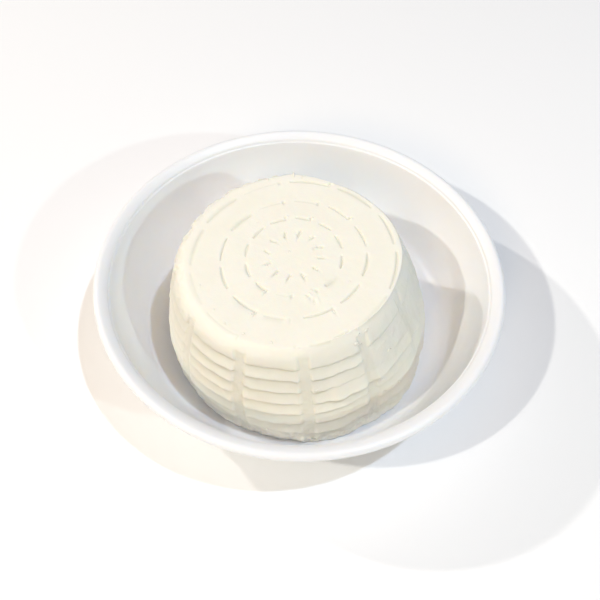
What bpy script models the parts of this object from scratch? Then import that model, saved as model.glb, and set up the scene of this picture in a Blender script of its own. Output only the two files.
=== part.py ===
"""A fresh ricotta, turned out of its basket mould, sitting in a white plastic bowl.

Lengths are in metres and +Z is up. The origin is on the table, under the middle of the bowl.
The ricotta leans a little, so it is modelled upright about its own axis, then turned and cut
flat where it sits on the bowl's floor.
"""

import math

import bmesh
import bpy
from mathutils import Matrix, Vector

MM = 0.001

# The bowl: a moulded dish of one piece with a rolled lip and a foot ring.
RIM_RADIUS = 99.7 * MM
WALL = 2.0 * MM
BOWL_SEGMENTS = 64
FOOT_HEIGHT = 2.2 * MM
FOOT_OUTER_RADIUS = 66.0 * MM
FOOT_WIDTH = 3.2 * MM
FOOT_CHAMFER = 0.4 * MM
FLOOR_Z = FOOT_HEIGHT + WALL
FLOOR_RADIUS = 70.0 * MM
CORNER_RADIUS = 12.0 * MM
CORNER_TURN = 60.0
LIP_EDGE = (92.9 * MM, 45.5 * MM)
WALL_PULL = (88.6 * MM, 23.6 * MM)
LIP_ROLL = 2.3 * MM
LIP_ROLL_CENTRE_Z = 45.3 * MM
LIP_ROLL_START = 115.0
LIP_SKIRT = 0.4 * MM
LIP_THICKNESS = 1.6 * MM

# The ricotta: a tapered drum whose narrow face, once the bottom of the basket, is on top.
TOP_CENTRE = (-2.95 * MM, -6.7 * MM, 65.1 * MM)
RIGHT_SIDE_UP = 4.35
FAR_SIDE_UP = 1.92
SEAT_GAP = 0.3 * MM
FLAT_RADIUS = 49.4 * MM
SHOULDER_DROP = 4.6 * MM
WALL_TOP_RADIUS = 50.0 * MM
WALL_FOOT_RADIUS = 62.9 * MM
WALL_BULGE = 5.2 * MM
WALL_TOP_SHIFT = (-3.1 * MM, 0.5 * MM)
WALL_FOOT_SHIFT = (-0.6 * MM, -3.8 * MM)
SAG_TO_FRONT = 2.2 * MM
DRUM_DEPTH = 61.0 * MM
CUT_ALLOWANCE = 9.0 * MM

# The basket's marks: twelve panels of slots between upright staves, and rings of slots below.
PANELS = 12
PANEL = 360.0 / PANELS
FIRST_STAVE = 5.6
STAVE_HALF = 1.9
PANEL_EDGE = 3.3
PANEL_COLUMNS = (STAVE_HALF, PANEL_EDGE, 9.1, 15.0, 20.9, PANEL - PANEL_EDGE, PANEL - STAVE_HALF)
FIRST_RIDGE_TOP = 4.6 * MM
FIRST_RIDGE_FOOT = 7.9 * MM
SECOND_RIDGE_HEIGHT = 5.4 * MM
RIDGE_GROWTH = 1.07
RIDGE_LIFT = 1.5 * MM
RIDGE_STEPS = ((0.0, 0.0), (0.45, 0.65), (0.8, 1.0), (0.93, 0.9))
RIDGE_STRENGTH = (0.7, 1.0, 1.0, 1.0, 1.0, 1.0, 0.8, 0.5)
SHOULDER_LIFT = 0.9 * MM
MARKS_DRIFT_TO_FRONT = 8.0 * MM
RING_RADII = (13.2 * MM, 22.6 * MM, 34.2 * MM, 48.0 * MM)
DASH_HALF_ANGLES = (3.5, 9.5, 11.5, 12.5)
DASH_HALF_WIDTH = 1.0 * MM
DASH_DEPTH = 0.8 * MM
UNEVENNESS = 0.45 * MM


def material(name, colour, roughness):
    """A plain surface finish: linear colour, roughness, no metal."""
    made = bpy.data.materials.new(name)
    made.use_nodes = True
    shader = made.node_tree.nodes["Principled BSDF"]
    shader.inputs["Base Color"].default_value = (*colour, 1.0)
    shader.inputs["Roughness"].default_value = roughness
    shader.inputs["Metallic"].default_value = 0.0
    return made


def add_object(name, mesh, finish):
    """Links a named object that shows this mesh in this finish."""
    mesh.materials.append(finish)
    made = bpy.data.objects.new(name, mesh)
    bpy.context.scene.collection.objects.link(made)
    return made


def arc(centre, radius, start, end, steps):
    """Points of a profile on an arc, from start to end in degrees, both ends included."""
    turns = [math.radians(start + (end - start) * i / steps) for i in range(steps + 1)]
    return [(centre[0] + radius * math.cos(t), centre[1] + radius * math.sin(t)) for t in turns]


def bent_line(first, pull, last, steps):
    """Points after first on a quadratic curve to last, pulled towards a third point."""
    shares = [i / steps for i in range(1, steps + 1)]
    return [
        tuple((1 - s) ** 2 * a + 2 * s * (1 - s) * b + s * s * c for a, b, c in zip(first, pull, last))
        for s in shares
    ]


def offset(points, distance):
    """The profile moved sideways by a distance, to the right of its direction of travel."""
    moved = []
    for i, point in enumerate(points):
        before = Vector(points[max(i - 1, 0)])
        after = Vector(points[min(i + 1, len(points) - 1)])
        along = (after - before).normalized()
        moved.append((point[0] + distance * along.y, point[1] - distance * along.x))
    return moved


def bowl_profile():
    """The bowl's whole section as (radius, height), from the axis over the inside and back below."""
    corner_centre = (FLOOR_RADIUS, FLOOR_Z + CORNER_RADIUS)
    corner = arc(corner_centre, CORNER_RADIUS, -90.0, CORNER_TURN - 90.0, 4)
    wall = corner + bent_line(corner[-1], WALL_PULL, LIP_EDGE, 5)
    roll_centre = (RIM_RADIUS - LIP_ROLL, LIP_ROLL_CENTRE_Z)
    roll = arc(roll_centre, LIP_ROLL, LIP_ROLL_START, 0.0, 4)
    skirt_foot = roll_centre[1] - LIP_SKIRT
    inner_roll = arc(roll_centre, LIP_ROLL - LIP_THICKNESS, 0.0, LIP_ROLL_START, 2)
    under_lip = (LIP_EDGE[0] + WALL, LIP_EDGE[1] - LIP_THICKNESS)
    outside = offset(wall, WALL)[:-1]
    foot_inner = FOOT_OUTER_RADIUS - FOOT_WIDTH
    foot = [
        (FOOT_OUTER_RADIUS, FOOT_HEIGHT),
        (FOOT_OUTER_RADIUS, FOOT_CHAMFER),
        (FOOT_OUTER_RADIUS - FOOT_CHAMFER, 0.0),
        (foot_inner + FOOT_CHAMFER, 0.0),
        (foot_inner, FOOT_CHAMFER),
        (foot_inner, FOOT_HEIGHT),
    ]
    return (
        [(0.0, FLOOR_Z)]
        + wall
        + roll
        + [(RIM_RADIUS, skirt_foot), (RIM_RADIUS - LIP_THICKNESS, skirt_foot)]
        + inner_roll
        + [under_lip]
        + outside[::-1]
        + foot
        + [(0.0, FOOT_HEIGHT)]
    )


def make_bowl():
    """The bowl, turned from its section by a Screw modifier."""
    section = bowl_profile()
    mesh = bpy.data.meshes.new("bowl")
    mesh.from_pydata(
        [(radius, 0.0, height) for radius, height in section],
        [(i, i + 1) for i in range(len(section) - 1)],
        [],
    )
    bowl = add_object("bowl", mesh, material("white_polypropylene", (0.84, 0.83, 0.84), 0.3))
    turn = bowl.modifiers.new("turn", "SCREW")
    turn.steps = BOWL_SEGMENTS
    turn.render_steps = BOWL_SEGMENTS
    turn.use_merge_vertices = True
    turn.merge_threshold = 0.00001
    turn.use_smooth_shade = True
    return bowl


def lumps(angle, depth):
    """A slow unevenness of the soft cheese, from -1 to 1, over angle in degrees and depth."""
    turn = math.radians(angle)
    down = depth / DRUM_DEPTH
    return (
        0.5 * math.sin(2 * turn + 1.1 + 1.7 * down)
        + 0.3 * math.sin(5 * turn + 4.0 * down)
        + 0.2 * math.sin(11 * turn - 7.0 * down + 0.6)
    )


def wall_circle(depth):
    """Centre and radius of the wall's level section at a depth, at the level of the staves."""
    share = depth / DRUM_DEPTH
    middle = 4.0 * share * (1.0 - share)
    centre = Vector(WALL_TOP_SHIFT).lerp(Vector(WALL_FOOT_SHIFT), share)
    centre.y -= SAG_TO_FRONT * middle
    radius = WALL_TOP_RADIUS + (WALL_FOOT_RADIUS - WALL_TOP_RADIUS) * share + WALL_BULGE * middle
    return centre, radius


def wall_point(angle, depth, lift):
    """The point of the side on the mark line at an angle in degrees, at a depth, standing out by lift."""
    turn = math.radians(angle)
    outwards = Vector((math.cos(turn), math.sin(turn)))
    wall_depth = max(depth, SHOULDER_DROP)
    centre, radius = wall_circle(wall_depth)
    marks_centre = Vector((0.0, -MARKS_DRIFT_TO_FRONT * wall_depth / DRUM_DEPTH))
    aside = centre - marks_centre
    along = aside.dot(outwards)
    reach = along + math.sqrt(radius**2 - aside.length_squared + along**2)
    place = marks_centre + outwards * (reach + lift + UNEVENNESS * lumps(angle, depth))
    if depth < SHOULDER_DROP:
        edge = outwards * FLAT_RADIUS
        place = edge.lerp(place, math.sqrt(1.0 - (1.0 - depth / SHOULDER_DROP) ** 2))
    return (place.x, place.y, -depth)


def column_angles():
    """(angle in degrees, share of the panel's relief there) for each upright line of points."""
    return [
        (FIRST_STAVE + PANEL * panel + column, 0.0 if column in (STAVE_HALF, PANEL - STAVE_HALF) else 1.0)
        for panel in range(PANELS)
        for column in PANEL_COLUMNS
    ]


def ridge_spans():
    """(top, foot) depths of the ridges, each a little taller than the one above it."""
    spans = [(FIRST_RIDGE_TOP, FIRST_RIDGE_FOOT)]
    height = SECOND_RIDGE_HEIGHT
    for _ in RIDGE_STRENGTH[1:]:
        top = spans[-1][1]
        spans.append((top, top + height))
        height *= RIDGE_GROWTH
    return spans


def side_rows():
    """(depth, how far the ridges stand out there) for each level line of the side, top to bottom."""
    rows = [(SHOULDER_DROP * 0.2, 0.2 * SHOULDER_LIFT), (SHOULDER_DROP * 0.7, SHOULDER_LIFT)]
    for (top, foot), strength in zip(ridge_spans(), RIDGE_STRENGTH):
        for share, lift in RIDGE_STEPS:
            rows.append((top + share * (foot - top), lift * RIDGE_LIFT * strength))
    rows.append((ridge_spans()[-1][1], 0.0))
    rows.append((DRUM_DEPTH + CUT_ALLOWANCE, 0.0))
    return rows


def top_rows():
    """(radius, ring index or None) for each circle of points on the top face, from the middle out."""
    rows = []
    for index, radius in enumerate(RING_RADII):
        rows += [(radius - DASH_HALF_WIDTH, None), (radius, index), (radius + DASH_HALF_WIDTH, None)]
    return rows


def dash_share(angle, index):
    """How much of a dash's full depth a ring has at this angle, from 0 to 1."""
    from_middle = abs((angle - FIRST_STAVE) % PANEL - PANEL / 2)
    return 1.0 if from_middle <= DASH_HALF_ANGLES[index] else 0.0


def drum_rings():
    """All circles of points of the upright drum, with its top face at height 0."""
    columns = column_angles()
    rings = []
    for radius, index in top_rows():
        ring = []
        for angle, _ in columns:
            sunk = 0.0 if index is None else DASH_DEPTH * dash_share(angle, index)
            turn = math.radians(angle)
            ring.append((radius * math.cos(turn), radius * math.sin(turn), -sunk))
        rings.append(ring)
    for depth, lift in side_rows():
        rings.append([wall_point(angle, depth, lift * relief) for angle, relief in columns])
    return rings


def skin(mesh, rings):
    """Joins the circles of points into one closed surface, with a fan at each end."""
    circles = [[mesh.verts.new(point) for point in ring] for ring in rings]
    count = len(circles[0])
    for upper, lower in zip(circles, circles[1:]):
        for i in range(count):
            j = (i + 1) % count
            mesh.faces.new((upper[i], lower[i], lower[j], upper[j]))
    top = mesh.verts.new((0.0, 0.0, 0.0))
    bottom = mesh.verts.new((0.0, 0.0, rings[-1][0][2]))
    for i in range(count):
        j = (i + 1) % count
        mesh.faces.new((top, circles[0][i], circles[0][j]))
        mesh.faces.new((bottom, circles[-1][j], circles[-1][i]))


def lean():
    """The matrix that puts the upright drum in the bowl, leaning to the left and the front."""
    roll = Matrix.Rotation(-math.radians(RIGHT_SIDE_UP), 4, "Y")
    pitch = Matrix.Rotation(math.radians(FAR_SIDE_UP), 4, "X")
    return Matrix.Translation(TOP_CENTRE) @ roll @ pitch


def cut_flat(mesh, height):
    """Removes what is below a height and closes the cut with a fan of triangles."""
    cut = bmesh.ops.bisect_plane(
        mesh,
        geom=mesh.verts[:] + mesh.edges[:] + mesh.faces[:],
        dist=0.00001,
        plane_co=(0.0, 0.0, height),
        plane_no=(0.0, 0.0, -1.0),
        clear_outer=True,
    )
    edges = [item for item in cut["geom_cut"] if isinstance(item, bmesh.types.BMEdge)]
    filled = bmesh.ops.edgeloop_fill(mesh, edges=edges)
    bmesh.ops.poke(mesh, faces=filled["faces"])


def make_ricotta():
    """The ricotta with the basket's ridges, staves and rings of dashes in its surface."""
    work = bmesh.new()
    skin(work, drum_rings())
    work.transform(lean())
    cut_flat(work, FLOOR_Z + SEAT_GAP)
    bmesh.ops.recalc_face_normals(work, faces=work.faces[:])
    mesh = bpy.data.meshes.new("ricotta")
    work.to_mesh(mesh)
    work.free()
    ricotta = add_object("ricotta", mesh, material("fresh_ricotta", (0.92, 0.90, 0.80), 0.55))
    mesh.shade_smooth()
    mesh.set_sharp_from_angle(angle=math.radians(30.0))
    return ricotta


def main():
    for old in list(bpy.data.objects):
        bpy.data.objects.remove(old)
    make_bowl()
    make_ricotta()


main()
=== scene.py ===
"""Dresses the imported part: a fresh ricotta with its basket's marks, standing in a white plastic bowl.

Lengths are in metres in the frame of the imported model: +Z up, the origin on the table under the
middle of the bowl. The ricotta is drawn upright about its own axis, with its top face at height 0,
and is then leaned over and cut flat where it sits.
"""

import math
import random

import bpy
import numpy as np
from bpy.props import BoolProperty, FloatProperty, FloatVectorProperty, IntProperty, PointerProperty
from mathutils import Matrix, Vector, noise


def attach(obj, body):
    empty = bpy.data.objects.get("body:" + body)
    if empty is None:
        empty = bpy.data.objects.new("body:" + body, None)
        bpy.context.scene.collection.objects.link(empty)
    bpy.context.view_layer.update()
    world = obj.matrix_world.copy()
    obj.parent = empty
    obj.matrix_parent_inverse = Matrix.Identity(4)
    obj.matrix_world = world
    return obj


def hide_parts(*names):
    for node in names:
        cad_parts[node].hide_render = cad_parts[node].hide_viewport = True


bl_info = {
    "name": "Ricotta in a bowl",
    "version": (1, 0, 0),
    "blender": (4, 5, 0),
    "location": "3D View > Sidebar > Ricotta",
    "description": "Models and finishes a fresh ricotta and its bowl around the packed part",
    "category": "Object",
}

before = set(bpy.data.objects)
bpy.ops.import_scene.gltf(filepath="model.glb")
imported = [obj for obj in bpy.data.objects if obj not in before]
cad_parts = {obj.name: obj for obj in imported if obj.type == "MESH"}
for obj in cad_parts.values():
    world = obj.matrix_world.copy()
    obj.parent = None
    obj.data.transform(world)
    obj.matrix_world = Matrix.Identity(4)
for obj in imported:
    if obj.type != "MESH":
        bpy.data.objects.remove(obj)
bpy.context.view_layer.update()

MM = 0.001
BODY = "root"

# The bowl's section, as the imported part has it, with the small steps and roundings of a moulding.
RIM_RADIUS = 99.7 * MM
BOWL_WALL = 2.0 * MM
BOWL_STEPS = 192
FOOT_HEIGHT = 2.2 * MM
FOOT_OUTER_RADIUS = 66.0 * MM
FOOT_WIDTH = 3.2 * MM
FOOT_ROUNDING = 0.6 * MM
FLOOR_Z = FOOT_HEIGHT + BOWL_WALL
FLOOR_RADIUS = 70.0 * MM
CORNER_RADIUS = 12.0 * MM
CORNER_TURN = 60.0
LIP_EDGE = (92.9 * MM, 45.5 * MM)
WALL_PULL = (88.6 * MM, 23.6 * MM)
WALL_TOP = (92.0 * MM, 43.6 * MM)
LEDGE = (92.75 * MM, 44.35 * MM)
LIP_ROLL = 2.3 * MM
LIP_ROLL_CENTRE_Z = 45.3 * MM
LIP_ROLL_START = 115.0
LIP_SKIRT = 0.4 * MM
LIP_THICKNESS = 1.6 * MM

# The ricotta's drum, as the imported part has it.
TOP_CENTRE = (-2.95 * MM, -6.7 * MM, 65.1 * MM)
RIGHT_SIDE_UP = 4.35
FAR_SIDE_UP = 1.92
SEAT_GAP = 0.3 * MM
FLAT_RADIUS = 49.4 * MM
SHOULDER_DROP = 4.6 * MM
SHOULDER_FULLNESS = 2.5
CORNER_LIFT = 1.2 * MM
LIP_LIFT = 1.0 * MM
BAND_BULGE = 0.5 * MM
# The first band as shares of its depth: where it stands out furthest, and where it falls back.
BAND_CREST = 0.85
BAND_END = (0.87, 0.995)
WALL_TOP_RADIUS = 50.0 * MM
WALL_FOOT_RADIUS = 62.9 * MM
WALL_BULGE = 5.2 * MM
WALL_TOP_SHIFT = (-3.1 * MM, 0.5 * MM)
WALL_FOOT_SHIFT = (-0.6 * MM, -3.8 * MM)
SAG_TO_FRONT = 2.2 * MM
DRUM_DEPTH = 61.0 * MM
CUT_ALLOWANCE = 9.0 * MM
UNEVENNESS = 0.45 * MM
# How far the side is crumbled, in millimetres: where it is sound, and what tearing adds to that.
CRUMBLED_COARSE = (0.1, 0.5)
CRUMBLED_FINE = (0.07, 0.35)
COARSE_SIZE = 4.5 * MM
FINE_SIZE = 1.7 * MM
# Height and size of the face's own slow and small unevenness.
FACE_SLOW = (0.12 * MM, 14.0 * MM)
FACE_SMALL = (0.05 * MM, 3.0 * MM)
HEM_FROM = 40.0 * MM
HEM_TO = 54.0 * MM
# The torn far edge: degrees between which it starts and ends, and depths over which it fades.
FAR_EDGE_START = (70.0, 95.0)
FAR_EDGE_END = (192.0, 214.0)
FAR_EDGE_TOP = (0.1 * MM, 1.0 * MM)
FAR_EDGE_FADE = (4.5 * MM, 9.0 * MM)
FAR_EDGE_TEARING = 1.3

# The basket's marks.
PANEL = 30.0
FIRST_STAVE = 5.6
COLUMNS_PER_PANEL = 44
COLUMN_CROWDING = 0.5
FIRST_RIDGE_TOP = 4.6 * MM
RIDGE_FEET = (8.8 * MM, 13.8 * MM, 19.6 * MM, 25.7 * MM, 32.2 * MM, 39.2 * MM, 46.8 * MM, 54.8 * MM)
RIDGE_STRENGTH = (0.0, 1.0, 1.0, 0.9, 0.9, 0.9, 0.85, 0.6)
RIDGE_ROWS = (0.0, 0.2, 0.4, 0.56, 0.69, 0.79, 0.85, 0.9, 0.94, 0.98)
RIDGE_CREST = 0.86
RIDGE_FLARE = 1.35
LIP_DROOP = 0.3 * MM
# Degrees from a stave's middle between which a ridge rises, down the side and round the shoulder.
STAVE_EDGE = (1.9, 3.5)
SHOULDER_STAVE_EDGE = (1.5, 3.5)
# How strongly painted shade darkens the grooves under the ridges and the staves, as a share of the full
# tint.
GROOVE_SHADE = 0.75
STAVE_SHADE = 0.45
# Noise round the drum is read on a ring of this radius, each kind in lanes of its own.
NOISE_RING = 57.0 * MM
LANE_GAP = 13.7 * MM
STAVE_LANE = 20
HEIGHT_LANE = 40
FLECK_LANE = 60
LEDGE_LANE = 90
# Where the lines between the ridges start and stop running lower, in degrees.
SAG_START = (238.0, 320.0)
SAG_END = (338.0, 359.0)
# How much lower the lines between the ridges run on the near right, from the first line down.
LINE_SAG = (0.0, 2.2 * MM, 0.9 * MM, 1.0 * MM, 1.0 * MM, 0.5 * MM, 0.2 * MM, 0.0, 0.0)
MARKS_DRIFT_TO_FRONT = 8.0 * MM

# How strongly each panel took the ridges, from the one right of the far side round to the left.
PANEL_STRENGTH = (0.6, 0.8, 1.0, 1.0, 0.9, 0.75, 0.7, 1.0, 1.0, 1.0, 0.85, 0.4)

# Where the curd was smeared as it left the basket: it hangs over the fourth ridge as a ledge.
SMEAR_FROM = 282.0
SMEAR_TO = 358.0
SMEAR_FADE = 14.0
# Degrees between which the smear starts: on the right, above the ledge, and in the third ridge.
SMEAR_RIGHT = (316.0, 326.0)
SMEAR_UPPER = (300.0, 309.0)
SMEAR_THIRD = (283.0, 288.0)
SMEAR_THIRD_END = (302.0, 310.0)
SMEAR_THIRD_TOP = (13.0 * MM, 15.0 * MM)
SMEAR_FOOT = (20.0 * MM, 26.0 * MM)
# How much of the ridges is wiped away below the ledge and in the third ridge.
SMEAR_BELOW = 0.65
SMEAR_IN_THIRD = 0.75
LEDGE_RIDGE = 3
LEDGE_LIFT = 1.7 * MM
LEDGE_START = SHOULDER_DROP + 4.0 * MM

# Slow dents (-) and swellings (+) of the side: angle, half width in degrees, height, depth it starts at.
SWELLINGS = (
    (66.0, 16.0, -2.0 * MM, 0.0),
    (42.0, 16.0, -1.6 * MM, 0.0),
    (93.0, 5.0, 0.7 * MM, 0.0),
    (127.0, 4.0, 0.6 * MM, 0.0),
    (159.0, 5.0, -1.1 * MM, 0.0),
    (277.0, 7.0, 0.4 * MM, 0.0),
    (0.0, 9.0, 0.5 * MM, 0.0),
    (324.0, 13.0, 1.9 * MM, 32.0 * MM),
    (286.0, 12.0, 1.2 * MM, 40.0 * MM),
    (252.0, 12.0, -0.8 * MM, 40.0 * MM),
)

# The four rings of slots in the basket's floor, each centred a share of its radius off the middle,
# because the curd slipped in the basket. Each letter is the mark that one slot left:
# t tick across the ring, p plain, h hooked, s soft, e faint with a dark end, d doubled, w wedge,
# c curled up, b broken.
RING_RADII = (12.8 * MM, 22.5 * MM, 33.8 * MM, 47.3 * MM)
RING_SHIFT = (-0.01, -0.048)
DASH_HALF_ANGLES = (4.6, 9.0, 11.0, 12.0)
# Towards the rim the marks grow this much fainter; none reaches deeper down the shoulder than this.
RIM_FADE = (46.5 * MM, 49.0 * MM)
RIM_FAINTNESS = 0.6
DASHES_REACH = 3.0 * MM
# How strongly painted shade darkens the dashes on the top, for their depth.
DASH_SHADE = 1.4
RING_MARKS = ("tttttttttttt", "pphhppphecwp", "pheespphdhpp", "pshessshebsp")


def linear(hex_colour):
    """A linear RGBA colour from an sRGB hex value."""
    parts = [int(hex_colour[i : i + 2], 16) / 255.0 for i in (0, 2, 4)]
    return [c / 12.92 if c <= 0.04045 else ((c + 0.055) / 1.055) ** 2.4 for c in parts] + [1.0]


class BowlSettings(bpy.types.PropertyGroup):
    """What a user would change on the bowl."""

    colour: FloatVectorProperty(
        name="Colour",
        description="Colour of the plastic",
        subtype="COLOR",
        size=3,
        default=linear("F3F3F4")[:3],
    )
    roughness: FloatProperty(
        name="Roughness", description="How dull the moulded surface is", default=0.38, min=0.0, max=1.0
    )


class RicottaSettings(bpy.types.PropertyGroup):
    """What a user would change on the cheese."""

    ridge_lift: FloatProperty(
        name="Ridge lift",
        description="How far the ridges stand out of the side",
        default=0.95 * MM,
        unit="LENGTH",
    )
    dash_depth: FloatProperty(
        name="Dash depth",
        description="How deep the dashes are pressed into the top",
        default=0.7 * MM,
        unit="LENGTH",
    )
    raggedness: FloatProperty(
        name="Raggedness",
        description="How far the ridges' lower edges wander",
        default=0.35 * MM,
        unit="LENGTH",
    )
    seed: IntProperty(name="Seed", description="Changes which marks are faint, hooked or torn", default=7)


class StageSettings(bpy.types.PropertyGroup):
    """What a user would change on the stage."""

    lamp_power: FloatProperty(
        name="Lamps", description="Power of the lamp on the near left", default=19.5, unit="POWER"
    )
    overhead_power: FloatProperty(
        name="Overhead panel", description="Power of the wide soft light above", default=8.5, unit="POWER"
    )
    fill_power: FloatProperty(
        name="Fill", description="Power of the soft light beside the camera", default=11.5, unit="POWER"
    )
    world_strength: FloatProperty(
        name="Surroundings", description="Strength of the light from all round", default=0.1
    )


def per_mm(size):
    """The scale of a texture whose features are about this many millimetres across."""
    return 1000.0 / size


def add_node(tree, kind, values=None, sources=None, **settings):
    """Adds a node with its settings, its input values and the links into it."""
    made = tree.nodes.new(kind)
    for name, value in settings.items():
        setattr(made, name, value)
    for name, value in (values or {}).items():
        made.inputs[name].default_value = value
    for name, source in (sources or {}).items():
        tree.links.new(source, made.inputs[name])
    return made


def new_material(name):
    """A material with nodes, its tree, its main shader and its object coordinates."""
    made = bpy.data.materials.new(name)
    made.use_nodes = True
    tree = made.node_tree
    shader = tree.nodes["Principled BSDF"]
    place = add_node(tree, "ShaderNodeTexCoord").outputs["Object"]
    return made, tree, shader, place


def deselect_all():
    if bpy.context.object and bpy.context.object.mode != "OBJECT":
        bpy.ops.object.mode_set(mode="OBJECT")
    bpy.ops.object.select_all(action="DESELECT")


def spun_shell(name, section, steps):
    """Draws a section of (radius, height) points and spins it round +Z into a closed shell."""
    deselect_all()
    bpy.ops.mesh.primitive_plane_add(size=MM, location=(0.0, 0.0, 0.0))
    shell = bpy.context.object
    shell.name = name
    shell.data.name = name
    bpy.ops.object.mode_set(mode="EDIT")
    bpy.ops.mesh.select_all(action="SELECT")
    bpy.ops.mesh.merge(type="CENTER")
    bpy.ops.transform.translate(value=(section[0][0], 0.0, section[0][1]))
    for (r0, z0), (r1, z1) in zip(section, section[1:]):
        bpy.ops.mesh.extrude_region_move(TRANSFORM_OT_translate={"value": (r1 - r0, 0.0, z1 - z0)})
    bpy.ops.mesh.select_all(action="SELECT")
    bpy.ops.mesh.spin(steps=steps, angle=2.0 * math.pi, center=(0.0, 0.0, 0.0), axis=(0.0, 0.0, 1.0))
    bpy.ops.mesh.select_all(action="SELECT")
    bpy.ops.mesh.remove_doubles(threshold=0.002 * MM)
    bpy.ops.mesh.normals_make_consistent(inside=False)
    bpy.ops.object.mode_set(mode="OBJECT")
    bpy.ops.object.shade_smooth()
    return shell


def finish_piece(piece, finish, node):
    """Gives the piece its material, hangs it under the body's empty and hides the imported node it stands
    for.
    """
    piece.data.materials.clear()
    piece.data.materials.append(finish)
    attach(piece, BODY)
    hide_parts(node)


def arc(centre, radius, start, end, steps):
    """Points on an arc from start to end in degrees, both ends included."""
    turns = [math.radians(start + (end - start) * i / steps) for i in range(steps + 1)]
    return [(centre[0] + radius * math.cos(t), centre[1] + radius * math.sin(t)) for t in turns]


def bent_line(first, pull, last, steps):
    """Points after first on a quadratic curve to last, pulled towards a third point."""
    shares = [i / steps for i in range(1, steps + 1)]
    return [
        tuple((1 - s) ** 2 * a + 2 * s * (1 - s) * b + s * s * c for a, b, c in zip(first, pull, last))
        for s in shares
    ]


def offset(points, distance):
    """The profile moved sideways by a distance, to the right of its direction of travel."""
    moved = []
    for i, point in enumerate(points):
        before = Vector(points[max(i - 1, 0)])
        after = Vector(points[min(i + 1, len(points) - 1)])
        along = (after - before).normalized()
        moved.append((point[0] + distance * along.y, point[1] - distance * along.x))
    return moved


def bowl_section():
    """The bowl's section from the axis over the inside, round the lip and back below."""
    corner_centre = (FLOOR_RADIUS, FLOOR_Z + CORNER_RADIUS)
    floor = [(FLOOR_RADIUS * share, FLOOR_Z) for share in (0.0, 0.35, 0.7, 0.9)]
    corner = arc(corner_centre, CORNER_RADIUS, -90.0, CORNER_TURN - 90.0, 12)
    wall = corner + bent_line(corner[-1], WALL_PULL, WALL_TOP, 18)
    ledge = [
        (WALL_TOP[0] + 0.12 * MM, WALL_TOP[1] + 0.35 * MM),
        (WALL_TOP[0] + 0.4 * MM, WALL_TOP[1] + 0.6 * MM),
        LEDGE,
        (LEDGE[0] + 0.2 * MM, LEDGE[1] + 0.3 * MM),
        (LEDGE[0] + 0.28 * MM, LEDGE[1] + 0.85 * MM),
        (LIP_EDGE[0] + 0.55 * MM, LIP_EDGE[1] + 0.25 * MM),
    ]
    roll_centre = (RIM_RADIUS - LIP_ROLL, LIP_ROLL_CENTRE_Z)
    roll = arc(roll_centre, LIP_ROLL, LIP_ROLL_START, 0.0, 16)
    skirt_foot = roll_centre[1] - LIP_SKIRT
    tip_centre = (RIM_RADIUS - LIP_THICKNESS / 2.0, skirt_foot)
    tip = arc(tip_centre, LIP_THICKNESS / 2.0, 0.0, -180.0, 6)
    lifted_tip = [(r, max(z, skirt_foot - 0.3 * MM)) for r, z in tip]
    inner_roll = arc(roll_centre, LIP_ROLL - LIP_THICKNESS, 0.0, LIP_ROLL_START, 5)
    under_lip = (LIP_EDGE[0] + BOWL_WALL, LIP_EDGE[1] - LIP_THICKNESS)
    plain_wall = corner + bent_line(corner[-1], WALL_PULL, LIP_EDGE, 12)
    outside = offset(plain_wall, BOWL_WALL)[:-1]
    inner_foot = FOOT_OUTER_RADIUS - FOOT_WIDTH
    low = FOOT_ROUNDING
    foot = (
        [(FOOT_OUTER_RADIUS, FOOT_HEIGHT), (FOOT_OUTER_RADIUS, low)]
        + arc((FOOT_OUTER_RADIUS - low, low), low, 0.0, -90.0, 4)[1:]
        + arc((inner_foot + low, low), low, -90.0, -180.0, 4)
        + [(inner_foot, FOOT_HEIGHT)]
    )
    under = [(inner_foot * share, FOOT_HEIGHT) for share in (0.6, 0.0)]
    inside = floor + wall + ledge + roll
    return inside + lifted_tip[1:] + inner_roll + [under_lip] + outside[::-1] + foot + under


def white_polypropylene(settings):
    """Injection moulded polypropylene: white all through, smooth, with a soft gloss and faint haze."""
    made, tree, shader, place = new_material("white_polypropylene")
    haze = add_node(tree, "ShaderNodeTexNoise", {"Scale": per_mm(26.0), "Detail": 2.0}, {"Vector": place})
    least, most = settings.roughness - 0.02, settings.roughness + 0.03
    dull = add_node(
        tree,
        "ShaderNodeMapRange",
        {"From Min": 0.3, "From Max": 0.7, "To Min": least, "To Max": most},
        {"Value": haze.outputs["Fac"]},
    )
    orange_peel = add_node(
        tree,
        "ShaderNodeTexNoise",
        {"Scale": per_mm(2.5), "Detail": 1.0},
        {"Vector": place},
    )
    relief = add_node(
        tree,
        "ShaderNodeBump",
        {"Strength": 0.12, "Distance": 0.05 * MM},
        {"Height": orange_peel.outputs["Fac"]},
    )
    tree.links.new(dull.outputs["Result"], shader.inputs["Roughness"])
    tree.links.new(relief.outputs["Normal"], shader.inputs["Normal"])
    shader.inputs["Base Color"].default_value = (*settings.colour, 1.0)
    shader.inputs["IOR"].default_value = 1.49
    shader.inputs["Subsurface Weight"].default_value = 0.6
    shader.inputs["Subsurface Radius"].default_value = (1.0, 0.85, 0.7)
    shader.inputs["Subsurface Scale"].default_value = 4.0 * MM
    return made


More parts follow.
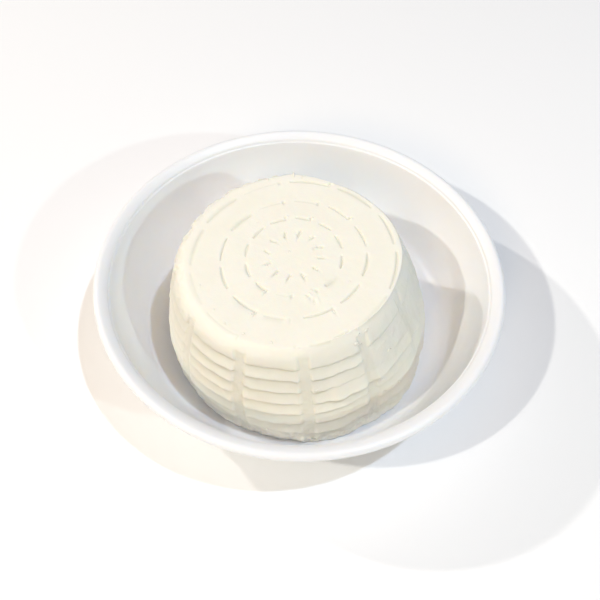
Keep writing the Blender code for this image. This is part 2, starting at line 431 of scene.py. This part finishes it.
def fresh_ricotta(name, see_in):
    """Fresh ricotta: fine moist curd, warm white, softly lit from within, with painted shade darkening its
    grooves, staves and dashes.
    """
    made, tree, shader, place = new_material(name)
    cloud, curd, grain = (
        add_node(tree, "ShaderNodeTexNoise", {"Scale": per_mm(size), "Detail": detail}, {"Vector": place})
        for size, detail in ((14.0, 4.0), (1.6, 3.0), (0.7, 2.0))
    )
    body = add_node(
        tree,
        "ShaderNodeMix",
        {6: linear("F6F3E8"), 7: linear("F2EEDF")},
        {0: cloud.outputs["Fac"]},
        data_type="RGBA",
    )
    # Painted shade: the points' stored attribute mixes in a greyer cream where shade falls in the grooves,
    # undercuts, staves and dashes.
    painted_shade = add_node(tree, "ShaderNodeAttribute", attribute_name="painted_shade")
    depth = add_node(
        tree,
        "ShaderNodeMath",
        {1: 0.5},
        {0: painted_shade.outputs["Fac"]},
        operation="MULTIPLY",
    )
    colour = add_node(
        tree,
        "ShaderNodeMix",
        {7: linear("D2D1BF")},
        {0: depth.outputs[0], 6: body.outputs[2]},
        data_type="RGBA",
    )
    wet = add_node(
        tree,
        "ShaderNodeMapRange",
        {"From Min": 0.35, "From Max": 0.65, "To Min": 0.42, "To Max": 0.6},
        {"Value": curd.outputs["Fac"]},
    )
    soft = add_node(
        tree,
        "ShaderNodeBump",
        {"Strength": 0.4, "Distance": 0.15 * MM},
        {"Height": curd.outputs["Fac"]},
    )
    fine = add_node(
        tree,
        "ShaderNodeBump",
        {"Strength": 0.4, "Distance": 0.08 * MM},
        {"Height": grain.outputs["Fac"], "Normal": soft.outputs["Normal"]},
    )
    tree.links.new(colour.outputs[2], shader.inputs["Base Color"])
    tree.links.new(wet.outputs["Result"], shader.inputs["Roughness"])
    tree.links.new(fine.outputs["Normal"], shader.inputs["Normal"])
    shader.inputs["IOR"].default_value = 1.38
    shader.inputs["Subsurface Weight"].default_value = see_in
    shader.inputs["Subsurface Radius"].default_value = (1.0, 0.8, 0.55)
    shader.inputs["Subsurface Scale"].default_value = 2.2 * MM
    return made


def smooth(low, high, value):
    """0 below low, 1 above high, and a smooth rise between."""
    share = np.clip((value - low) / (high - low), 0.0, 1.0)
    return share * share * (3.0 - 2.0 * share)


def rough(x, y, z, size):
    """Perlin noise from about -1 to 1 at many points, with features of a size."""
    places = np.stack([x, y, z], axis=1) / size
    return 1.6 * np.array([noise.noise(place) for place in places.tolist()])


def ridge_spans():
    """(top, foot) depths of the ridges."""
    return list(zip((FIRST_RIDGE_TOP, *RIDGE_FEET), RIDGE_FEET))


def drum_section():
    """The upright drum's section, with its rows close together where marks cross them."""
    rows = set(np.linspace(0.0, FLAT_RADIUS, 24))
    for radius in RING_RADII:
        reach = 1.1 * MM - RING_SHIFT[1] * radius
        rows |= set(np.arange(radius - reach, min(radius + reach, FLAT_RADIUS), 0.28 * MM))
    top = [(r, 0.0) for r in spaced(sorted(rows), 0.2 * MM)]
    shoulder = [SHOULDER_DROP * (1.0 - math.cos(math.radians(90.0 * i / 11))) for i in range(1, 11)]
    depths = shoulder + [t + share * (f - t) for t, f in ridge_spans() for share in RIDGE_ROWS]
    last = ridge_spans()[-1][1]
    depths += list(np.linspace(last, DRUM_DEPTH + CUT_ALLOWANCE, 11))
    side = [(WALL_FOOT_RADIUS, -d) for d in depths]
    return top + side + [(0.0, side[-1][1])]


def spaced(values, least):
    """Sorted values without those that follow the one before too closely."""
    kept = [values[0]]
    for value in values[1:]:
        if value - kept[-1] >= least:
            kept.append(value)
    return kept


def wall_reach(turn, depth):
    """How far the wall is from the marks' centre, and that centre's place, at angles and depths."""
    share = depth / DRUM_DEPTH
    middle = 4.0 * share * (1.0 - share)
    aside_x = WALL_TOP_SHIFT[0] + (WALL_FOOT_SHIFT[0] - WALL_TOP_SHIFT[0]) * share
    centre_y = WALL_TOP_SHIFT[1] + (WALL_FOOT_SHIFT[1] - WALL_TOP_SHIFT[1]) * share - SAG_TO_FRONT * middle
    radius = WALL_TOP_RADIUS + (WALL_FOOT_RADIUS - WALL_TOP_RADIUS) * share + WALL_BULGE * middle
    marks_y = -MARKS_DRIFT_TO_FRONT * share
    aside_y = centre_y - marks_y
    along = aside_x * np.cos(turn) + aside_y * np.sin(turn)
    return along + np.sqrt(radius**2 - aside_x**2 - aside_y**2 + along**2), marks_y


def lumps(turn, depth):
    """The drum's slow unevenness, from -1 to 1."""
    down = depth / DRUM_DEPTH
    return (
        0.5 * np.sin(2 * turn + 1.1 + 1.7 * down)
        + 0.3 * np.sin(5 * turn + 4.0 * down)
        + 0.2 * np.sin(11 * turn - 7.0 * down + 0.6)
    )


def ridge_shape(share):
    """A ridge's outline from its top groove, 0, to its undercut foot, 1: it flares out and stops short."""
    flare = np.clip(share / RIDGE_CREST, 0.0, 1.0) ** RIDGE_FLARE
    return flare * (1.0 - smooth(0.83, 0.99, share))


def smeared(angle, depth):
    """How far the ridges are wiped away, 0 to 1, at angles in degrees and depths."""
    before_end = 1.0 - smooth(SMEAR_TO, SMEAR_TO + SMEAR_FADE, angle)
    right = smooth(*SMEAR_RIGHT, angle) * before_end
    upper = smooth(*SMEAR_UPPER, angle) * before_end
    high = 1.0 - smooth(*SMEAR_FOOT, depth)
    third = smooth(*SMEAR_THIRD, angle) * smooth(*SMEAR_THIRD_TOP, depth)
    third *= 1.0 - smooth(*SMEAR_THIRD_END, angle)
    return np.maximum(
        np.maximum(SMEAR_BELOW, high) * right,
        high * np.maximum(upper, SMEAR_IN_THIRD * third),
    )


def around(turn, lane, size):
    """Noise that runs round the drum, another one for each lane."""
    level = np.full_like(turn, LANE_GAP * lane)
    return rough(NOISE_RING * np.cos(turn), NOISE_RING * np.sin(turn), level, size)


def ragged_line(turn, number, raggedness):
    """How far the edge above a ridge wanders up and down round the drum; the first one runs true."""
    if number == 0:
        return np.zeros_like(turn)
    angle = np.degrees(turn) % 360.0
    sag = LINE_SAG[number] * smooth(*SAG_START, angle) * (1.0 - smooth(*SAG_END, angle))
    wander = 0.7 * around(turn, number, 2.2 * MM) + 0.9 * around(turn, number, 9.0 * MM)
    return sag + raggedness * wander


def stave_distance(angle):
    """Degrees to the nearest stave's middle."""
    return PANEL / 2 - np.abs((angle - FIRST_STAVE) % PANEL - PANEL / 2)


def press_side(turn, depth, settings):
    """Lift of the ridges, their painted shade in the grooves, undercuts and staves, and their moved depth,
    for points of the side.
    """
    angle = np.degrees(turn) % 360.0
    off_stave = stave_distance(angle)
    panel_number = ((angle - FIRST_STAVE) % 360.0 / PANEL).astype(int) % 12
    panel_strength = np.array(PANEL_STRENGTH)[panel_number]
    lift = np.zeros_like(depth)
    painted_shade = np.zeros_like(depth)
    moved = depth.copy()
    for number, ((top, foot), strength) in enumerate(zip(ridge_spans(), RIDGE_STRENGTH)):
        inside = np.flatnonzero((depth >= top - 1e-7) & (depth < foot - 1e-7))
        share = (depth[inside] - top) / (foot - top)
        ring = turn[inside]
        above = ragged_line(ring, number, settings.raggedness)
        below = ragged_line(ring, number + 1, settings.raggedness)
        panel = smooth(*STAVE_EDGE, off_stave[inside] + 0.3 * around(ring, number + STAVE_LANE, 4.0 * MM))
        flecks = 0.5 + 0.5 * np.clip(2.0 * around(ring, number + FLECK_LANE, 3.5 * MM), -1.0, 1.0)
        wiped = smeared(angle[inside], depth[inside]) * (0.82 + 0.18 * flecks)
        uneven = 1.0 + 0.25 * around(ring, number + HEIGHT_LANE, 5.0 * MM)
        kept = panel * (strength * panel_strength[inside] * uneven) * (1.0 - wiped)
        lift[inside] = settings.ridge_lift * ridge_shape(share) * kept
        # Painted shade down each ridge's face, darkest under the lip above, and in the undercut under its
        # own lip.
        groove = GROOVE_SHADE * np.clip(1.0 - share / 0.8, 0.0, 1.0)
        undercut = smooth(RIDGE_CREST, 0.98, share)
        # Painted shade on the sunken staves.
        stave = STAVE_SHADE * (1.0 - panel) * panel_strength[inside]
        if number == 0:
            stave *= smooth(0.3, 0.7, share)
        painted_shade[inside] = np.maximum(np.maximum(groove, undercut) * kept, stave)
        droop = LIP_DROOP * smooth(0.6, RIDGE_CREST, share) * (1.0 - smooth(0.9, 1.0, share)) * kept
        moved[inside] += (1.0 - share) * above + share * below + droop
    last = ridge_spans()[-1][1]
    hem = np.flatnonzero(depth >= last - 1e-7)
    under_last = ragged_line(turn[hem], len(RIDGE_STRENGTH), settings.raggedness)
    moved[hem] += under_last * (1.0 - smooth(last, last + 4.0 * MM, depth[hem]))
    lift += ledge(turn, angle, depth)
    for middle, half, height, start in SWELLINGS:
        swelling = height * np.exp(-((turned_by(angle, middle) / half) ** 2))
        lift += swelling * smooth(start - 6.0 * MM, start + 6.0 * MM, depth) if start else swelling
    return lift, np.clip(painted_shade, 0.0, 1.0), moved


def ledge(turn, angle, depth):
    """The smeared curd's lift: it grows down to the foot of one ridge and ends there."""
    foot = ridge_spans()[LEDGE_RIDGE][1]
    down = np.clip((depth - LEDGE_START) / (0.95 * foot - LEDGE_START), 0.0, 1.0) ** 1.6
    down *= 1.0 - smooth(0.955 * foot, foot, depth)
    along = smooth(SMEAR_FROM, SMEAR_FROM + 8.0, angle)
    along *= 1.0 - smooth(SMEAR_TO - SMEAR_FADE, SMEAR_TO, angle)
    uneven = 1.0 + 0.3 * around(turn, LEDGE_LANE, 6.0 * MM)
    return LEDGE_LIFT * down * along * uneven


def turned_by(angle, middle):
    """Degrees from a middle, from -180 to 180."""
    return (angle - middle + 180.0) % 360.0 - 180.0


def arc_mark(radius, angle, ring_radius, middle, half, width, slant=0.0):
    """Nearness, 0 to 1, to a stretch of a ring, which may slant or widen towards one end."""
    away = turned_by(angle, middle)
    line = ring_radius + slant * np.clip(away / half, -1.0, 1.0)
    beyond = radius * np.radians(np.maximum(np.abs(away) - half, 0.0))
    taper = 1.0 - 0.35 * np.clip(np.abs(away) / half, 0.0, 1.0) ** 2
    return np.exp(-(np.hypot(radius - line, beyond) / (width * taper)) ** 2)


def point_mark(radius, angle, ring_radius, middle, width):
    """Nearness to a point of the ring."""
    aside = radius * np.radians(turned_by(angle, middle))
    return np.exp(-(np.hypot(aside, radius - ring_radius) / width) ** 2)


def cross_mark(radius, angle, inner, outer, middle, width, lean_over=0.0):
    """Nearness to a short line across the ring, from one radius to another."""
    share = np.clip((radius - inner) / (outer - inner), 0.0, 1.0)
    aside = radius * np.radians(turned_by(angle, middle)) - lean_over * (share - 0.5)
    past = radius - inner - share * (outer - inner)
    return np.exp(-(np.hypot(aside, past) / width) ** 2)


def slot_mark(letter, draw, radius, angle, ring_radius, middle, half):
    """The relief that one slot of the basket's floor left: above 0 sunk in, below 0 raised."""
    width = draw.uniform(0.5, 0.7) * MM
    slant = draw.uniform(-0.35, 0.35) * MM
    strength = draw.uniform(0.75, 1.1)
    reach = draw.uniform(1.0, 1.7) * MM
    right_end = middle - half * math.copysign(1.0, math.sin(math.radians(middle)))

    def stretch(out, aside, half_length, thick, tilt=0.0):
        return arc_mark(radius, angle, ring_radius + out, middle + aside, half_length, thick, tilt)

    def across(start, end, place, thick, lean_over=0.0):
        return cross_mark(radius, angle, ring_radius + start, ring_radius + end, place, thick, lean_over)

    spot = across(-0.4 * MM, 0.4 * MM, right_end, 0.6 * MM)
    line = stretch(0.0, 0.0, half, width, slant)
    if letter == "t":
        tick = across(-0.8 * reach, 0.8 * reach, middle, 0.55 * MM, 3.0 * slant)
        foot = stretch(1.5 * slant, 2.5, 2.6, 0.45 * MM, 2.0 * slant)
        return strength * np.maximum(tick, 0.55 * foot)
    if letter == "h":
        hook = across(-0.1 * MM, reach, right_end, 0.5 * MM)
        burr = point_mark(radius, angle, ring_radius + reach, right_end - 2.0, 0.5 * MM)
        return strength * (np.maximum(line, hook) - 0.6 * burr)
    if letter == "s":
        return 0.7 * strength * stretch(0.0, 0.0, half, 1.1 * MM, slant)
    if letter == "e":
        return strength * np.maximum(0.22 * line, 0.95 * spot)
    if letter == "d":
        outer = stretch(2.3 * MM, 2.0, 0.6 * half, width)
        inner = stretch(0.4 * MM, -3.0, 0.7 * half, width)
        tick = across(0.0, 2.6 * MM, middle + 0.9 * half, 0.4 * MM)
        return 0.4 * np.maximum(np.maximum(outer, inner), tick)
    if letter == "w":
        away = np.clip(turned_by(angle, middle) / half, -1.0, 1.0)
        return 1.1 * stretch(0.5 * MM, 0.0, 0.9 * half, 1.3 * MM, 0.4 * MM) * (0.55 - 0.35 * away)
    if letter == "c":
        torn = across(0.4 * MM, 5.2 * MM, middle - 1.0, 0.5 * MM, 2.4 * MM)
        lip = across(0.2 * MM, 4.6 * MM, middle + 2.0, 0.6 * MM, 2.4 * MM)
        return 0.9 * np.maximum(torn, spot) - 0.8 * lip
    if letter == "b":
        first = stretch(0.3 * MM, -0.45 * half, 0.45 * half, width)
        second = stretch(-0.5 * MM, 0.6 * half, 0.35 * half, width)
        return strength * np.maximum(first, second)
    return strength * line


def dash_groove(x, y, settings):
    """How deep the rings of slots press each point of the top face in."""
    draw = random.Random(settings.seed)
    deep = np.zeros_like(x)
    raised = np.zeros_like(x)
    for ring_radius, half_angle, letters in zip(RING_RADII, DASH_HALF_ANGLES, RING_MARKS):
        from_x = x - RING_SHIFT[0] * ring_radius
        from_y = y - RING_SHIFT[1] * ring_radius
        radius = np.hypot(from_x, from_y)
        angle = np.degrees(np.arctan2(from_y, from_x)) % 360.0
        for panel, letter in enumerate(letters):
            middle = FIRST_STAVE + PANEL * (panel + 0.5) + draw.uniform(-0.8, 0.8)
            half = half_angle * draw.uniform(0.88, 1.04)
            mark = slot_mark(letter, draw, radius, angle, ring_radius, middle, half)
            deep = np.maximum(deep, mark)
            raised = np.minimum(raised, mark)
    rim = np.hypot(x, y)
    return (deep + raised) * (1.0 - RIM_FAINTNESS * smooth(*RIM_FADE, rim))


def crowded(turn):
    """The columns' angles, drawn together beside the staves, where the marks end."""
    local = (np.degrees(turn) - FIRST_STAVE) / PANEL
    local = local - COLUMN_CROWDING / (2.0 * math.pi) * np.sin(2.0 * math.pi * local)
    return np.radians(FIRST_STAVE + PANEL * local)


def first_band(turn, depth):
    """The lift of the plain band that the shoulder runs into, fuller towards the viewer."""
    share = depth / RIDGE_FEET[0]
    down = np.clip(share / BAND_CREST, 0.0, 1.0)
    nearness = 0.5 - 0.5 * np.sin(turn)
    fuller = CORNER_LIFT * (1.0 - down) + BAND_BULGE * 4.0 * down * (1.0 - down)
    band = (LIP_LIFT * down + nearness * fuller) * (1.0 - smooth(*BAND_END, share))
    off_stave = smooth(*SHOULDER_STAVE_EDGE, stave_distance(np.degrees(turn)))
    return band * np.maximum(off_stave, 1.0 - smooth(0.2, 0.9, share))


def crumbling(turn, depth, x, y, z):
    """How far the side's crumbled curd stands in or out, most at the torn far edge and the hem."""
    angle = np.degrees(turn) % 360.0
    far_edge = smooth(*FAR_EDGE_START, angle) * (1.0 - smooth(*FAR_EDGE_END, angle))
    far_edge *= smooth(*FAR_EDGE_TOP, depth) * (1.0 - smooth(*FAR_EDGE_FADE, depth))
    torn = np.maximum(smooth(HEM_FROM, HEM_TO, depth), FAR_EDGE_TEARING * far_edge)
    coarse = (CRUMBLED_COARSE[0] + CRUMBLED_COARSE[1] * torn) * MM * rough(x, y, z, COARSE_SIZE)
    fine = (CRUMBLED_FINE[0] + CRUMBLED_FINE[1] * torn) * MM * rough(x, y, z, FINE_SIZE)
    return coarse + fine


def press_marks(drum, settings):
    """Moves the points of the plain drum to the ricotta's form, and stores the painted shade of its grooves,
    staves and dashes.
    """
    count = len(drum.data.vertices)
    flat = np.empty(count * 3)
    drum.data.vertices.foreach_get("co", flat)
    x, y, z = flat.reshape(-1, 3).T
    radius = np.hypot(x, y)
    turn = crowded(np.arctan2(y, x))
    depth = -z
    on_top = depth < 1e-6
    base = (depth > DRUM_DEPTH + CUT_ALLOWANCE - 1e-6) & (radius < 1e-5)
    lift, painted_shade, moved = press_side(turn, depth, settings)
    reach, marks_y = wall_reach(turn, moved)
    grown = reach + lift + first_band(turn, depth) + UNEVENNESS * lumps(turn, moved)
    side_x = grown * np.cos(turn)
    side_y = marks_y + grown * np.sin(turn)
    fallen = np.minimum(moved, SHOULDER_DROP) / SHOULDER_DROP
    share = np.clip(1.0 - (1.0 - fallen) ** SHOULDER_FULLNESS, 0.0, 1.0) ** (1.0 / SHOULDER_FULLNESS)
    side_x = (FLAT_RADIUS + lift) * np.cos(turn) * (1.0 - share) + side_x * share
    side_y = (FLAT_RADIUS + lift) * np.sin(turn) * (1.0 - share) + side_y * share
    on_face = radius + lift * (radius / FLAT_RADIUS) ** 6
    new_x = np.where(on_top, on_face * np.cos(turn), side_x)
    new_y = np.where(on_top, on_face * np.sin(turn), side_y)
    near_top = depth < DASHES_REACH
    groove = np.zeros_like(depth)
    groove[near_top] = dash_groove(new_x[near_top], new_y[near_top], settings)
    swell = FACE_SLOW[0] * rough(new_x, new_y, z, FACE_SLOW[1])
    swell += FACE_SMALL[0] * rough(new_x, new_y, z, FACE_SMALL[1])
    new_z = np.where(on_top, swell, -moved) - settings.dash_depth * groove
    # Painted shade in the dashes on the top, darker where they are deeper.
    painted_shade = np.where(near_top, np.clip(DASH_SHADE * groove, 0.0, 1.0), painted_shade)
    jog = np.where(on_top, 0.0, crumbling(turn, depth, new_x, new_y, new_z))
    new_x = np.where(base, 0.0, new_x + jog * np.cos(turn))
    new_y = np.where(base, 0.0, new_y + jog * np.sin(turn))
    new_z = np.where(base, z, new_z)
    drum.data.vertices.foreach_set("co", np.stack([new_x, new_y, new_z], axis=1).ravel())
    # The painted shade goes to an attribute of the points, which the material reads.
    marks = drum.data.attributes.new("painted_shade", "FLOAT", "POINT")
    marks.data.foreach_set("value", painted_shade.astype(np.float32))
    drum.data.update()


def lean():
    """The matrix that puts the upright drum in the bowl, leaning to the left and the front."""
    roll = Matrix.Rotation(-math.radians(RIGHT_SIDE_UP), 4, "Y")
    pitch = Matrix.Rotation(math.radians(FAR_SIDE_UP), 4, "X")
    return Matrix.Translation(TOP_CENTRE) @ roll @ pitch


def cut_flat(piece, height):
    """Cuts the piece level at a height and closes the cut."""
    deselect_all()
    piece.select_set(True)
    bpy.context.view_layer.objects.active = piece
    bpy.ops.object.mode_set(mode="EDIT")
    bpy.ops.mesh.select_all(action="SELECT")
    bpy.ops.mesh.bisect(
        plane_co=(0.0, 0.0, height), plane_no=(0.0, 0.0, -1.0), clear_outer=True, use_fill=True
    )
    bpy.ops.object.mode_set(mode="OBJECT")


class RICOTTA_OT_bowl(bpy.types.Operator):
    """Spin the bowl from its section and give it its plastic"""

    bl_idname = "ricotta.bowl"
    bl_label = "Bowl"

    def execute(self, context):
        bowl = spun_shell("bowl_shell", bowl_section(), BOWL_STEPS)
        finish_piece(bowl, white_polypropylene(context.scene.ricotta_bowl), "bowl")
        return {"FINISHED"}


class RICOTTA_OT_cheese(bpy.types.Operator):
    """Spin the drum, press the basket's marks into it, lean it over and cut it where it sits"""

    bl_idname = "ricotta.cheese"
    bl_label = "Ricotta"

    def execute(self, context):
        drum = spun_shell("ricotta_body", drum_section(), 12 * COLUMNS_PER_PANEL)
        press_marks(drum, context.scene.ricotta_cheese)
        drum.data.transform(lean())
        cut_flat(drum, FLOOR_Z + SEAT_GAP)
        finish_piece(drum, fresh_ricotta("fresh_ricotta", 0.5), "ricotta")
        return {"FINISHED"}


# Crumbs of curd that stuck where the basket came off. On the top: radius, angle and size; on the side:
# depth, angle and size; sizes and lengths in millimetres.
TOP_CRUMBS = (
    (47.5, 232.0, 0.5),
    (47.5, 244.0, 0.7),
    (37.5, 241.0, 0.6),
    (48.0, 260.0, 0.5),
    (36.5, 300.0, 0.8),
    (30.0, 328.0, 0.6),
    (3.0, 146.0, 0.5),
    (9.0, 17.0, 0.6),
    (50.0, 274.0, 0.4),
    (45.5, 202.0, 0.5),
    (46.0, 221.0, 0.5),
    (48.5, 298.0, 0.6),
    (49.5, 305.0, 0.7),
    (49.0, 312.0, 0.6),
    (26.5, 133.0, 0.4),
    (22.0, 292.0, 0.6),
    (29.0, 290.0, 0.5),
    (50.0, 92.0, 1.0),
    (48.5, 87.0, 0.9),
    (49.0, 107.0, 0.9),
)
SIDE_CRUMBS = (
    (2.5, 304.0, 1.1),
    (3.0, 309.0, 1.0),
    (5.0, 302.0, 1.1),
    (7.0, 304.0, 1.0),
    (2.5, 337.0, 0.7),
    (2.0, 122.0, 1.0),
    (3.0, 142.0, 0.8),
    (2.5, 154.0, 1.1),
    (3.0, 112.0, 0.8),
    (18.5, 318.0, 0.9),
    (18.5, 280.0, 0.9),
    (30.0, 311.0, 0.9),
    (38.0, 319.0, 0.8),
    (37.0, 311.0, 0.8),
    (56.0, 277.0, 1.2),
)
# Loose crumbs fall at random in two bands, along the torn far edge and along the hem: depths and degrees.
LOOSE_CRUMBS = 40
CRUMB_SIZES = (0.3, 0.6)
FAR_BAND = ((1.6, 4.0), (85.0, 220.0))
HEM_BAND = ((46.0, 57.0), (190.0, 350.0))
# A crumb's length, width and height, as shares of its size, between which each is drawn.
CRUMB_LENGTH = (1.2, 2.2)
CRUMB_WIDTH = (0.6, 0.9)
CRUMB_HEIGHT = (0.25, 0.4)
CRUMB_TURN = (-0.4, 0.4)


def add_crumb(body, start, towards, size, draw):
    """A torn bit of curd where a ray first meets the cheese, sunk into it nearly halfway."""
    hit, place, normal, _ = body.ray_cast(start, towards)
    if not hit:
        raise RuntimeError("a crumb misses the cheese")
    deselect_all()
    bpy.ops.mesh.primitive_ico_sphere_add(subdivisions=2, radius=0.75 * size * MM, location=(0.0, 0.0, 0.0))
    crumb = bpy.context.object
    stretch = Matrix.Diagonal(
        (draw.uniform(*CRUMB_LENGTH), draw.uniform(*CRUMB_WIDTH), draw.uniform(*CRUMB_HEIGHT), 1.0)
    )
    spin = Matrix.Rotation(draw.uniform(*CRUMB_TURN), 4, "Z")
    stand = normal.to_track_quat("Z", "Y").to_matrix().to_4x4()
    for point in crumb.data.vertices:
        point.co *= 1.0 + 0.5 * noise.noise(point.co / (0.8 * size * MM) + Vector((size, place.x / MM, 0.0)))
    crumb.data.transform(Matrix.Translation(place + 0.1 * size * MM * normal) @ stand @ spin @ stretch)
    bpy.ops.object.shade_smooth()
    return crumb


class RICOTTA_OT_crumbs(bpy.types.Operator):
    """Stick crumbs of curd to the cheese, thickest along its torn far edge and its hem"""

    bl_idname = "ricotta.crumbs"
    bl_label = "Curd crumbs"

    def execute(self, context):
        body = bpy.data.objects["ricotta_body"]
        settings = context.scene.ricotta_cheese
        draw = random.Random(settings.seed)
        places = [("top", *entry) for entry in TOP_CRUMBS] + [("side", *entry) for entry in SIDE_CRUMBS]
        for _ in range(LOOSE_CRUMBS):
            size = draw.uniform(*CRUMB_SIZES)
            depths, angles = FAR_BAND if draw.random() < 0.5 else HEM_BAND
            places.append(("side", draw.uniform(*depths), draw.uniform(*angles), size))
        turned = lean()
        crumbs = []
        for side, along, angle, size in places:
            out = Vector((math.cos(math.radians(angle)), math.sin(math.radians(angle)), 0.0))
            start = out * along * MM + Vector((0.0, 0.0, 10.0 * MM))
            towards = Vector((0.0, 0.0, -1.0))
            if side == "side":
                drift = MARKS_DRIFT_TO_FRONT * along * MM / DRUM_DEPTH
                start = out * 80.0 * MM - Vector((0.0, drift, along * MM))
                towards = -out
            crumbs.append(add_crumb(body, turned @ start, turned.to_3x3() @ towards, size, draw))
        deselect_all()
        for crumb in crumbs:
            crumb.select_set(True)
        context.view_layer.objects.active = crumbs[0]
        bpy.ops.object.join()
        joined = context.object
        joined.name = "curd_crumbs"
        joined.data.name = "curd_crumbs"
        finish_piece(joined, fresh_ricotta("fresh_ricotta_crumbs", 0.0), "ricotta")
        return {"FINISHED"}


# The camera, as fitted to the photograph: a normal lens from the front, rolled a little.
CAMERA_ELEVATION = 54.34
CAMERA_DISTANCE = 336.2 * MM
CAMERA_AIM = (0.38 * MM, -19.12 * MM, 46.0 * MM)
CAMERA_ROLL = 1.85
LENS_MM = 42.58
SENSOR_MM = 36.0


def add_camera():
    """The photograph's view."""
    up = math.radians(CAMERA_ELEVATION)
    place = Vector(CAMERA_AIM) + CAMERA_DISTANCE * Vector((0.0, -math.cos(up), math.sin(up)))
    tilt = Matrix.Rotation(math.radians(90.0) - up, 4, "X")
    roll = Matrix.Rotation(math.radians(CAMERA_ROLL), 4, "Z")
    bpy.ops.object.camera_add(location=place, rotation=(tilt @ roll).to_euler())
    camera = bpy.context.object
    camera.data.lens = LENS_MM
    camera.data.sensor_width = SENSOR_MM
    camera.data.clip_start = 10.0 * MM
    bpy.context.scene.camera = camera


# The photograph's shadows fall away from four lamps: name, azimuth, elevation, share of power, colour.
LAMPS = (
    ("lamp_near_left", 297.5, 46.5, 1.0, "FFFDF4"),
    ("lamp_far_left", 246.5, 35.0, 0.84, "FFF9F3"),
    ("lamp_near_right", 53.0, 32.0, 0.5, "E3FCFF"),
    ("lamp_high_right", 71.4, 68.5, 1.09, "D7E8FF"),
)
LAMP_SIZE = 0.07
# The two soft lights: name, azimuth, elevation, size, colour.
OVERHEAD = ("overhead", 0.0, 88.0, 1.8, "FFDDBC")
FILL = ("fill", 340.0, 35.0, 0.6, "FFDDB4")
LIGHT_DISTANCE = 2.4
LIGHT_AIM = (0.0, 0.0, 40.0 * MM)
# The backdrop as the camera sees it; its light on the object is a setting.
SEEN_STRENGTH = 1.0


def add_light(name, azimuth, elevation, size, hex_colour, power):
    """A round light aimed at the bowl from an azimuth, 0 from the viewer and 90 from the right."""
    side = math.radians(azimuth)
    up = math.radians(elevation)
    way = Vector((math.cos(up) * math.sin(side), -math.cos(up) * math.cos(side), math.sin(up)))
    place = Vector(LIGHT_AIM) + way * LIGHT_DISTANCE
    bpy.ops.object.light_add(type="AREA", location=place, rotation=way.to_track_quat("Z", "Y").to_euler())
    light = bpy.context.object
    light.name = name
    light.data.shape = "DISK"
    light.data.size = size
    light.data.energy = power
    light.data.color = linear(hex_colour)[:3]


def pale_floor():
    """A matt pale paper floor."""
    made, _, shader, _ = new_material("pale_floor")
    shader.inputs["Base Color"].default_value = linear("FBFBFB")
    shader.inputs["Roughness"].default_value = 0.9
    return made


def backdrop(strength):
    """An even pale sky, bright to the camera and weak as a light."""
    world = bpy.data.worlds.new("studio")
    world.use_nodes = True
    tree = world.node_tree
    sky = tree.nodes["Background"]
    seen = add_node(tree, "ShaderNodeLightPath").outputs["Is Camera Ray"]
    glow = add_node(
        tree,
        "ShaderNodeMapRange",
        {"To Min": strength, "To Max": SEEN_STRENGTH},
        {"Value": seen},
    )
    tree.links.new(glow.outputs["Result"], sky.inputs["Strength"])
    sky.inputs["Color"].default_value = linear("F4F6FC")
    return world


class RICOTTA_OT_stage(bpy.types.Operator):
    """Add the floor, the lights and the camera"""

    bl_idname = "ricotta.stage"
    bl_label = "Stage"

    def execute(self, context):
        settings = context.scene.ricotta_stage
        deselect_all()
        bpy.ops.mesh.primitive_plane_add(size=4.0, location=(0.0, 0.0, 0.0))
        floor = bpy.context.object
        floor.name = "floor"
        floor.data.materials.append(pale_floor())
        for name, azimuth, elevation, share, hex_colour in LAMPS:
            add_light(name, azimuth, elevation, LAMP_SIZE, hex_colour, share * settings.lamp_power)
        add_light(*OVERHEAD, settings.overhead_power)
        add_light(*FILL, settings.fill_power)
        context.scene.world = backdrop(settings.world_strength)
        context.scene.view_settings.view_transform = "Standard"
        add_camera()
        return {"FINISHED"}


class RICOTTA_PT_panel(bpy.types.Panel):
    """Lists the pieces and the stage"""

    bl_label = "Ricotta in a bowl"
    bl_idname = "RICOTTA_PT_panel"
    bl_space_type = "VIEW_3D"
    bl_region_type = "UI"
    bl_category = "Ricotta"

    def draw(self, context):
        for operator, group in STEPS:
            self.layout.operator(operator)
            if group:
                settings = getattr(context.scene, group)
                for name in settings.__annotations__:
                    self.layout.prop(settings, name)


STEPS = (
    ("ricotta.bowl", "ricotta_bowl"),
    ("ricotta.cheese", "ricotta_cheese"),
    ("ricotta.crumbs", None),
    ("ricotta.stage", "ricotta_stage"),
)
GROUPS = {"ricotta_bowl": BowlSettings, "ricotta_cheese": RicottaSettings, "ricotta_stage": StageSettings}
CLASSES = (
    BowlSettings,
    RicottaSettings,
    StageSettings,
    RICOTTA_OT_bowl,
    RICOTTA_OT_cheese,
    RICOTTA_OT_crumbs,
    RICOTTA_OT_stage,
    RICOTTA_PT_panel,
)


def register():
    for item in CLASSES:
        bpy.utils.register_class(item)
    for name, group in GROUPS.items():
        setattr(bpy.types.Scene, name, PointerProperty(type=group))


def unregister():
    for name in GROUPS:
        delattr(bpy.types.Scene, name)
    for item in reversed(CLASSES):
        bpy.utils.unregister_class(item)


def main():
    register()
    bpy.ops.ricotta.bowl()
    bpy.ops.ricotta.cheese()
    bpy.ops.ricotta.crumbs()
    bpy.ops.ricotta.stage()


if __name__ == "__main__":
    main()
